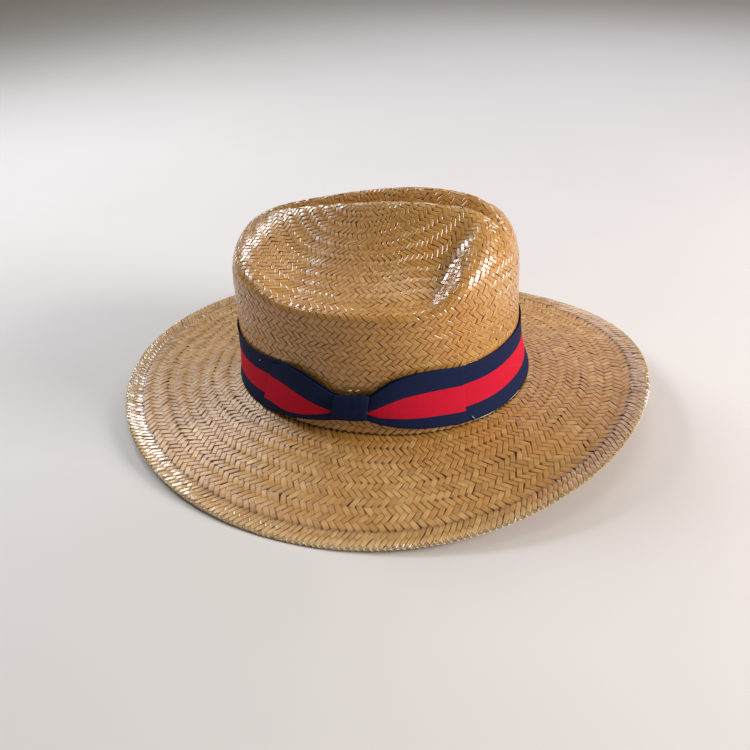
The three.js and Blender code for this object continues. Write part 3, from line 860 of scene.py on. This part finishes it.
def strip_solid(front, thickness, outward):
    """A closed thin solid from a sheet of points: the sheet, a copy of it set back by the thickness along the
    outward directions, and a wall round its edge. Gives points and faces."""
    rows, columns = front.shape[:2]
    back = front - thickness * outward
    points = np.concatenate([front.reshape(-1, 3), back.reshape(-1, 3)], axis=0)
    count = rows * columns
    row = np.arange(rows - 1)[:, None] * columns
    column = np.arange(columns - 1)[None, :]
    here = row + column
    faces = np.stack([here, here + 1, here + columns + 1, here + columns], axis=-1).reshape(-1, 4)
    behind = faces[:, ::-1] + count
    bottom = np.arange(columns)
    right = np.arange(1, rows) * columns + columns - 1
    top = (rows - 1) * columns + np.arange(columns - 1)[::-1]
    left = np.arange(1, rows - 1)[::-1] * columns
    edge = np.concatenate([bottom, right, top, left])
    after = np.roll(edge, -1)
    wall = np.stack([after, edge, edge + count, after + count], axis=-1)
    return points, np.concatenate([faces, behind, wall], axis=0)


def sheet_maps(faces, flat):
    """The ribbon's own map at each face corner, from each point's place on the flat ribbon in millimetres."""
    return {"ribbon": np.concatenate([flat, flat], axis=0)[faces]}


def wall_outward(angle, height):
    """The wall's outward direction: the cross product of its differences round and up."""
    step = 0.01
    here = np.stack([*wall_plan(angle, height), height], axis=-1)
    round_x, round_y = wall_plan(angle + step, height)
    up_x, up_y = wall_plan(angle, height + 1.0)
    around = np.stack([round_x, round_y, height], axis=-1) - here
    up = np.stack([up_x, up_y, height + 1.0], axis=-1) - here
    normal = np.cross(around, up)
    return here, normal / np.linalg.norm(normal, axis=-1, keepdims=True)


class STRAWHAT_OT_band(bpy.types.Operator):
    """Wrap the striped ribbon round the crown's foot"""

    bl_idname = "strawhat.band"
    bl_label = "Ribbon band"

    def execute(self, context):
        settings = context.scene.strawhat_ribbon
        angles = np.radians(np.linspace(BAND_BACK_ANGLE, 360.0 + BAND_FRONT_ANGLE, 361))
        shares = np.linspace(0.0, 1.0, 25)
        angle, share = np.meshgrid(angles, shares)
        foot = RIBBON_FOOT + 0.35 * np.sin(3.0 * angle + 1.0) + 0.2 * np.sin(11.0 * angle)
        height = foot + RIBBON_WIDTH * share
        here, outward = wall_outward(angle, height)
        stand = 1.15 + 0.12 * np.sin(7.0 * angle + 2.0 * share) + 0.25 * (2.0 * share - 1.0) ** 8
        front = here + outward * stand[..., None]
        points, faces = strip_solid(front, 0.6, outward)
        length = np.concatenate([[0.0], np.cumsum(np.linalg.norm(np.diff(front[12], axis=0), axis=-1))])
        flat = np.stack([np.broadcast_to(length, angle.shape), share * RIBBON_WIDTH], axis=-1).reshape(-1, 2)
        material = ribbon_material("Grosgrain ribbon, woven stripes", settings, True)
        piece = make_piece("ribbon_band_cloth", points, faces, material, ["ribbon_band"],
                           maps=sheet_maps(faces, flat))
        return {"FINISHED"}


# Bow wings, from the knot outwards: angle, heights of the lower edge, the red stripe's lower and upper edges
# and the upper edge, and how far they stand out from the wall
BACK_WING = np.array([
    (4.5, 12.8, 16.6, 18.6, 26.0, 3.4),
    (8.3, 11.7, 17.0, 17.9, 27.2, 4.9),
    (10.0, 10.6, 15.8, 19.4, 28.6, 5.3),
    (12.5, 9.4, 14.7, 21.6, 32.0, 5.6),
    (17.0, 7.6, 14.2, 25.6, 37.8, 5.6),
    (22.0, 6.0, 13.2, 28.2, 41.0, 5.0),
    (28.0, 4.6, 12.4, 29.4, 42.6, 4.2),
    (35.0, 3.4, 11.6, 29.2, 42.6, 3.3),
    (41.0, 2.8, 10.3, 28.2, 41.2, 2.7),
    (44.8, 2.3, 9.5, 27.2, 40.2, 2.3),
])
FRONT_WING = np.array([
    (0.0, 11.6, 15.2, 17.0, 26.6, 3.4),
    (-3.8, 9.4, 15.4, 16.2, 28.0, 4.9),
    (-6.5, 8.4, 13.8, 17.6, 30.8, 5.4),
    (-10.0, 7.2, 11.6, 19.4, 33.8, 5.6),
    (-15.0, 5.2, 8.8, 22.4, 37.6, 5.3),
    (-20.0, 3.9, 7.1, 25.2, 39.8, 4.6),
    (-24.0, 2.8, 7.4, 26.8, 39.8, 3.9),
    (-28.0, 1.7, 8.3, 27.2, 38.6, 3.0),
    (-31.7, 0.2, 8.1, 27.5, 36.5, 2.3),
])


def wing_sheet(sections, slant, valley, steps):
    """One wing as a flat loop: the front layer from the knot to the outer fold, and back behind it. Between the
    sections' angles every height follows a smooth curve, and pleats fan out from the knot. A valley of this
    depth runs out from the knot through the upper stripe."""
    run = np.linspace(0.0, 1.0, steps)
    known = np.linspace(0.0, 1.0, len(sections))
    angle_run = np.interp(run, known, sections[:, 0])
    lines = [np.interp(run, known, sections[:, part]) for part in range(1, 5)]
    for part, line in enumerate(lines):
        padded = np.concatenate([[line[0]] * 3, line, [line[-1]] * 3])
        lines[part] = np.convolve(padded, np.ones(7) / 7.0, mode="valid")
    stand_run = np.interp(run, known, sections[:, 5])
    across = np.linspace(0.0, 1.0, 41)
    knots = np.array([0.0, 0.262, 0.67, 1.0])
    heights = np.stack(lines, axis=0)
    share = np.broadcast_to(across[:, None], (41, steps))
    place = np.searchsorted(knots, across, side="right").clip(1, 3)
    low, high = knots[place - 1][:, None], knots[place][:, None]
    part = (across[:, None] - low) / (high - low)
    height = heights[place - 1] * (1.0 - part) + heights[place] * part
    angle = angle_run[None, :] + slant * (height - 20.0) / 20.0 * run[None, :] ** 2
    pinch = np.exp(-run[None, :] * 4.0)
    pleats = 0.9 * pinch * np.sin(share * 3.0 * math.pi * 2.0 + 0.6)
    pleats = pleats + 0.35 * np.sin(share * 9.0 + run[None, :] * 5.0) * (1.0 - run[None, :])
    pleats = pleats - valley * np.exp(-((share - 0.78) / 0.06) ** 2) * smooth(0.0, 0.12, run) * (1.0 - smooth(0.2, 0.5, run))
    crown = 1.0 - (2.0 * share - 1.0) ** 4
    stand = 2.3 + (stand_run[None, :] - 2.3) * (0.6 + 0.4 * crown) + pleats * 0.8
    back_stand = np.full_like(stand, 1.75)
    return angle, height, stand, back_stand


class STRAWHAT_OT_bow(bpy.types.Operator):
    """Tie the flat bow: two looped wings of the striped ribbon"""

    bl_idname = "strawhat.bow"
    bl_label = "Bow"

    def execute(self, context):
        settings = context.scene.strawhat_ribbon
        material = ribbon_material("Grosgrain ribbon, woven stripes", settings, True)
        wings = (("bow_wing_back", BACK_WING, 0.8, 0.0), ("bow_wing_front", FRONT_WING, 4.7, 1.8))
        for name, sections, slant, valley in wings:
            angle, height, stand, back_stand = wing_sheet(sections, slant, valley, 90)
            # The outer fold turns the front layer into the back one, which runs back under it
            fold = np.linspace(0.0, 1.0, 8)[1:-1]
            back = slice(None, None, -1)
            side = math.copysign(1.0, sections[-1, 0])
            fold_angle = angle[:, -1:] + side * 0.35 * np.sin(fold * math.pi)[None, :]
            fold_share = 0.5 - 0.5 * np.cos(fold * math.pi)
            fold_stand = stand[:, -1:] + (back_stand[:, -1:] - stand[:, -1:]) * fold_share[None, :]
            angles = np.concatenate([angle, fold_angle, angle[:, back]], axis=1)
            heights = np.concatenate([height, np.repeat(height[:, -1:], 6, axis=1), height[:, back]], axis=1)
            stands = np.concatenate([stand, fold_stand, back_stand[:, back]], axis=1)
            here, outward = wall_outward(np.radians(angles), heights)
            front = here + outward * stands[..., None]
            along = np.gradient(front, axis=1)
            up = np.gradient(front, axis=0)
            facing = np.cross(along, up) * side
            facing = facing / np.maximum(np.linalg.norm(facing, axis=-1, keepdims=True), 1e-9)
            if side < 0.0:
                front = front[:, ::-1]
                facing = facing[:, ::-1]
            points, faces = strip_solid(front, 0.35, facing)
            length = np.concatenate([[0.0], np.cumsum(np.linalg.norm(np.diff(front[20], axis=0), axis=-1))])
            across = np.broadcast_to(np.linspace(0.0, 1.0, 41)[:, None], front.shape[:2])
            flat = np.stack([np.broadcast_to(length, across.shape), across * RIBBON_WIDTH], axis=-1).reshape(-1, 2)
            piece = make_piece(name, points, faces, material, ["bow_ribbon"],
                               maps=sheet_maps(faces, flat))
        return {"FINISHED"}


class STRAWHAT_OT_knot(bpy.types.Operator):
    """Wrap the plain ribbon loop round the bow's middle"""

    bl_idname = "strawhat.knot"
    bl_label = "Knot"

    def execute(self, context):
        settings = context.scene.strawhat_ribbon
        across = np.linspace(0.0, 1.0, 33)
        turn = np.linspace(0.0, FULL_TURN, 97)[:-1]
        share, about = np.meshgrid(across, turn)
        middle_height, half_height, half_depth, middle_stand = 19.8, 8.75, 2.5, 4.4
        power = 0.62
        rise = np.sign(np.sin(about)) * np.abs(np.sin(about)) ** power
        deep = np.sign(np.cos(about)) * np.abs(np.cos(about)) ** power
        crush = 0.09 * np.sin(share * 23.0 + 0.8 * np.sin(about)) * (0.4 + 0.6 * np.clip(deep, 0.0, 1.0))
        edge = 1.0 - 0.10 * (2.0 * share - 1.0) ** 6
        angle = KNOT_FRONT_ANGLE + (KNOT_BACK_ANGLE - KNOT_FRONT_ANGLE) * share
        angle = np.radians(angle + KNOT_LEAN * half_height * rise)
        middle_height = middle_height + 1.75 * (share - 0.5)
        height = middle_height + half_height * rise * edge
        stand = middle_stand + (half_depth + crush) * deep * edge
        here, outward = wall_outward(angle, height)
        points = here + outward * stand[..., None]
        inner_height = middle_height + (half_height - 0.5) * rise * edge
        inner_stand = middle_stand + (half_depth - 0.5) * deep * edge
        here, outward = wall_outward(angle, inner_height)
        inner = here + outward * inner_stand[..., None]
        rows, columns = share.shape
        count = rows * columns
        row = np.arange(rows)[:, None]
        column = np.arange(columns - 1)[None, :]
        after = (row + 1) % rows
        outside = np.stack([row * columns + column, after * columns + column, after * columns + column + 1,
                            row * columns + column + 1], axis=-1).reshape(-1, 4)[:, ::-1]
        inside = outside[:, ::-1] + count
        edges = []
        for place, flip in ((0, False), (columns - 1, True)):
            here_row = np.arange(rows)
            next_row = (here_row + 1) % rows
            quad = np.stack([here_row * columns + place, next_row * columns + place,
                             next_row * columns + place + count, here_row * columns + place + count], axis=-1)
            edges.append(quad[:, ::-1] if flip else quad)
        faces = np.concatenate([outside, inside, *edges], axis=0)
        steps_round = np.linalg.norm(np.diff(points, axis=0, append=points[:1]), axis=-1)
        whole = float(steps_round[:, columns // 2].sum())
        wide = float(np.linalg.norm(np.diff(points[0], axis=0), axis=-1).sum())
        flat = np.stack([about / FULL_TURN * whole, share * wide], axis=-1).reshape(-1, 2)
        material = ribbon_material("Grosgrain ribbon, plain navy", settings, False)
        all_points = np.concatenate([points.reshape(-1, 3), inner.reshape(-1, 3)], axis=0)
        piece = make_piece("bow_knot_cloth", all_points, faces, material, ["bow_knot"],
                           maps=sheet_maps(faces, flat))
        return {"FINISHED"}


# Loose ends and stitches, each from angle and height to angle and height on the wall, with its stand-off and
# radius in millimetres, and how far its middle bows out
TACKS = (
    (46.6, 4.6, 47.6, 2.2, 1.9, 0.22, 0.3),
    (46.2, 40.2, 46.9, 42.2, 1.9, 0.18, 0.3),
    (-36.2, 33.6, -35.0, 35.4, 1.9, 0.18, 0.3),
)
GLUE = (
    (49.0, 0.9, 62.0, 1.1, 0.8, 0.42, 0.2),
    (62.5, 1.2, 77.0, 1.0, 0.8, 0.34, 0.2),
    (1.5, 30.2, 3.6, 30.8, 1.6, 0.36, 0.5),
    (4.4, 30.6, 6.2, 31.6, 1.7, 0.30, 0.8),
)


def thread_tube(ends, steps=9, sides=6):
    """A closed tube along the wall between two places: its middle follows the wall at the stand-off, bowed out
    by half a sine, and its radius narrows to nothing at both ends by the square root of a half sine."""
    first_angle, first_height, last_angle, last_height, stand, radius, bow = ends
    run = np.linspace(0.0, 1.0, steps)
    swell = np.sin(run * math.pi)
    angle = np.radians(first_angle + (last_angle - first_angle) * run)
    here, outward = wall_outward(angle, first_height + (last_height - first_height) * run)
    middle = here + outward * (stand + bow * swell)[:, None]
    along = np.gradient(middle, axis=0)
    along = along / np.linalg.norm(along, axis=-1, keepdims=True)
    across = np.cross(along, outward)
    across = across / np.linalg.norm(across, axis=-1, keepdims=True)
    above = np.cross(across, along)
    turn = np.arange(sides) * FULL_TURN / sides
    width = (radius * np.sqrt(np.clip(swell, 0.0, 1.0)) + 0.02)[:, None, None]
    ring = np.cos(turn)[None, :, None] * across[:, None] + np.sin(turn)[None, :, None] * above[:, None]
    points = (middle[:, None] + width * ring).reshape(-1, 3)
    faces = ring_faces(steps, sides)
    count = len(points)
    points = np.concatenate([points, middle[:1], middle[-1:]])
    side = np.arange(0, sides, 2)
    start = np.stack([np.full(len(side), count), (side + 2) % sides, side + 1, side], axis=-1)
    last = count - sides
    end = np.stack([np.full(len(side), count + 1), last + side, last + side + 1, last + (side + 2) % sides], axis=-1)
    return points, np.concatenate([faces, start, end])


def thread_material(name, colour, roughness):
    """Polyester thread and dried glue are pale and a little waxy: soft speckle and a weak gloss."""
    material = fresh_material(name)
    tree = material.node_tree
    place = put(tree, "ShaderNodeTexCoord")
    noise = put(tree, "ShaderNodeTexNoise", {"Vector": place.outputs["Object"], "Scale": 1500.0, "Detail": 2.0})
    light = put(tree, "ShaderNodeMapRange", {"Value": noise.outputs["Fac"], "To Min": 0.7, "To Max": 1.2})
    varied = put(tree, "ShaderNodeVectorMath", {0: colour, "Scale": light.outputs[0]}, operation="SCALE")
    shader = put(tree, "ShaderNodeBsdfPrincipled", {
        "Base Color": varied.outputs[0], "Roughness": roughness, "IOR": 1.5,
    })
    put(tree, "ShaderNodeOutputMaterial", {"Surface": shader.outputs["BSDF"]})
    return material


class STRAWHAT_OT_stitches(bpy.types.Operator):
    """Make the tacking stitches at the bow's ends and the dried glue along the ribbon"""

    bl_idname = "strawhat.stitches"
    bl_label = "Stitches"

    def execute(self, context):
        groups = (
            ("bow_tacks", TACKS, "navy_ribbon", ["bow_ribbon"], "Polyester thread, spun", "#c9cdd6", 0.6),
            ("ribbon_glue", GLUE, "straw", ["straw_body"], "Fabric glue, dried", "#e8e2d4", 0.35),
        )
        for name, group, slot, nodes, title, colour, roughness in groups:
            tubes = [thread_tube(ends) for ends in group]
            shift = np.cumsum([0] + [len(points) for points, faces in tubes])
            points = np.concatenate([points for points, faces in tubes])
            faces = np.concatenate([faces + start for (points_here, faces), start in zip(tubes, shift)])
            make_piece(name, points, faces, thread_material(title, linear(colour), roughness), nodes)
        return {"FINISHED"}


CAMERA_AZIMUTH = 107.36
CAMERA_ELEVATION = 34.48
CAMERA_DISTANCE = 0.560
CAMERA_ROLL = -2.98
CAMERA_TARGET = (0.0, -0.00296, 0.00707)
CAMERA_FOCUS = 788.07


def aimed(place, target, roll=0.0):
    """The matrix of something at a place that looks at a target, turned about its line of sight."""
    back = (Vector(place) - Vector(target)).normalized()
    right = Vector((0.0, 0.0, 1.0)).cross(back).normalized()
    up = back.cross(right)
    turned_right = right * math.cos(roll) + up * math.sin(roll)
    turned_up = up * math.cos(roll) - right * math.sin(roll)
    turn = Matrix((turned_right, turned_up, back)).transposed().to_4x4()
    return Matrix.Translation(Vector(place)) @ turn


def softbox(name, place, target, size, power, colour):
    """A rectangular area light at a place, turned to a target."""
    lamp = bpy.data.lights.new(name, "AREA")
    lamp.shape = "RECTANGLE"
    lamp.size, lamp.size_y = size
    lamp.energy = power
    lamp.color = linear(colour)
    lamp_object = bpy.data.objects.new(name, lamp)
    bpy.context.scene.collection.objects.link(lamp_object)
    lamp_object.matrix_world = aimed(place, target)


class STRAWHAT_OT_stage(bpy.types.Operator):
    """Make the floor, the camera and the light"""

    bl_idname = "strawhat.stage"
    bl_label = "Stage"

    def execute(self, context):
        settings = context.scene.strawhat_stage
        scene = context.scene
        azimuth, elevation = math.radians(CAMERA_AZIMUTH), math.radians(CAMERA_ELEVATION)
        back = Vector((math.sin(azimuth) * math.cos(elevation), -math.cos(azimuth) * math.cos(elevation), math.sin(elevation)))
        target = Vector(CAMERA_TARGET)
        camera = bpy.data.cameras.new("camera")
        camera.sensor_width = 36.0
        camera.lens = CAMERA_FOCUS * 36.0 / 750.0
        camera.clip_start = 0.01
        camera_object = bpy.data.objects.new("camera", camera)
        scene.collection.objects.link(camera_object)
        camera_object.matrix_world = aimed(target + back * CAMERA_DISTANCE, target, math.radians(CAMERA_ROLL))
        scene.camera = camera_object
        half = 4.0
        steps = 17
        place = np.linspace(-half, half, steps)
        across, along = np.meshgrid(place, place)
        points = np.stack([across.ravel(), along.ravel(), np.full(across.size, -0.0002)], axis=-1)
        row = np.arange(steps - 1)[:, None] * steps
        column = np.arange(steps - 1)[None, :]
        here = row + column
        faces = np.stack([here, here + 1, here + steps + 1, here + steps], axis=-1).reshape(-1, 4)
        mesh = bpy.data.meshes.new("floor")
        mesh.from_pydata(points.tolist(), [], faces.tolist())
        mesh.materials.append(floor_material(settings))
        floor = bpy.data.objects.new("floor", mesh)
        scene.collection.objects.link(floor)
        world = bpy.data.worlds.get("studio") or bpy.data.worlds.new("studio")
        world.use_nodes = True
        world.node_tree.nodes.clear()
        sky = put(world.node_tree, "ShaderNodeBackground", {"Color": (*linear("#f1e9de"), 1.0), "Strength": 0.2})
        put(world.node_tree, "ShaderNodeOutputWorld", {"Surface": sky.outputs[0]})
        scene.world = world
        scene.view_settings.view_transform = "Standard"
        middle = (0.0, 0.0, 0.05)
        softbox("key_softbox", (0.06, 1.16, 0.54), middle, (0.5, 0.5), settings.key, "#fdf5f2")
        softbox("window_softbox", (-0.22, -0.95, 0.91), middle, (0.30, 0.42), settings.window, "#eef6ff")
        softbox("side_softbox", (-0.56, -0.70, 0.82), middle, (0.24, 0.30), 0.4 * settings.window, "#f4f6ff")
        softbox("top_softbox", (-0.30, 0.00, 2.00), middle, (1.0, 1.0), settings.top, "#fdf6ec")
        softbox("back_softbox", (-1.10, 0.20, 0.70), middle, (1.0, 0.6), settings.back, "#e4e4fb")
        return {"FINISHED"}


class STRAWHAT_PT_pieces(bpy.types.Panel):
    """The hat's pieces and their settings"""

    bl_idname = "STRAWHAT_PT_pieces"
    bl_label = "Straw Hat"
    bl_space_type = "VIEW_3D"
    bl_region_type = "UI"
    bl_category = "Straw Hat"

    def draw(self, context):
        layout = self.layout
        for group in (context.scene.strawhat_straw, context.scene.strawhat_ribbon, context.scene.strawhat_stage):
            for title in group.__annotations__:
                layout.prop(group, title)
        for operator in PIECES:
            layout.operator(operator.bl_idname)


PIECES = (STRAWHAT_OT_stage, STRAWHAT_OT_ground, STRAWHAT_OT_crown, STRAWHAT_OT_brim, STRAWHAT_OT_band,
          STRAWHAT_OT_bow, STRAWHAT_OT_knot, STRAWHAT_OT_stitches)
CLASSES = (StrawSettings, RibbonSettings, StageSettings, *PIECES, STRAWHAT_PT_pieces)


def register():
    for one in CLASSES:
        bpy.utils.register_class(one)
    bpy.types.Scene.strawhat_straw = PointerProperty(type=StrawSettings)
    bpy.types.Scene.strawhat_ribbon = PointerProperty(type=RibbonSettings)
    bpy.types.Scene.strawhat_stage = PointerProperty(type=StageSettings)


def unregister():
    del bpy.types.Scene.strawhat_stage
    del bpy.types.Scene.strawhat_ribbon
    del bpy.types.Scene.strawhat_straw
    for one in reversed(CLASSES):
        bpy.utils.unregister_class(one)


def main():
    register()
    bpy.ops.strawhat.stage()
    bpy.ops.strawhat.ground()
    bpy.ops.strawhat.crown()
    bpy.ops.strawhat.brim()
    bpy.ops.strawhat.band()
    bpy.ops.strawhat.bow()
    bpy.ops.strawhat.knot()
    bpy.ops.strawhat.stitches()


if __name__ == "__main__":
    main()
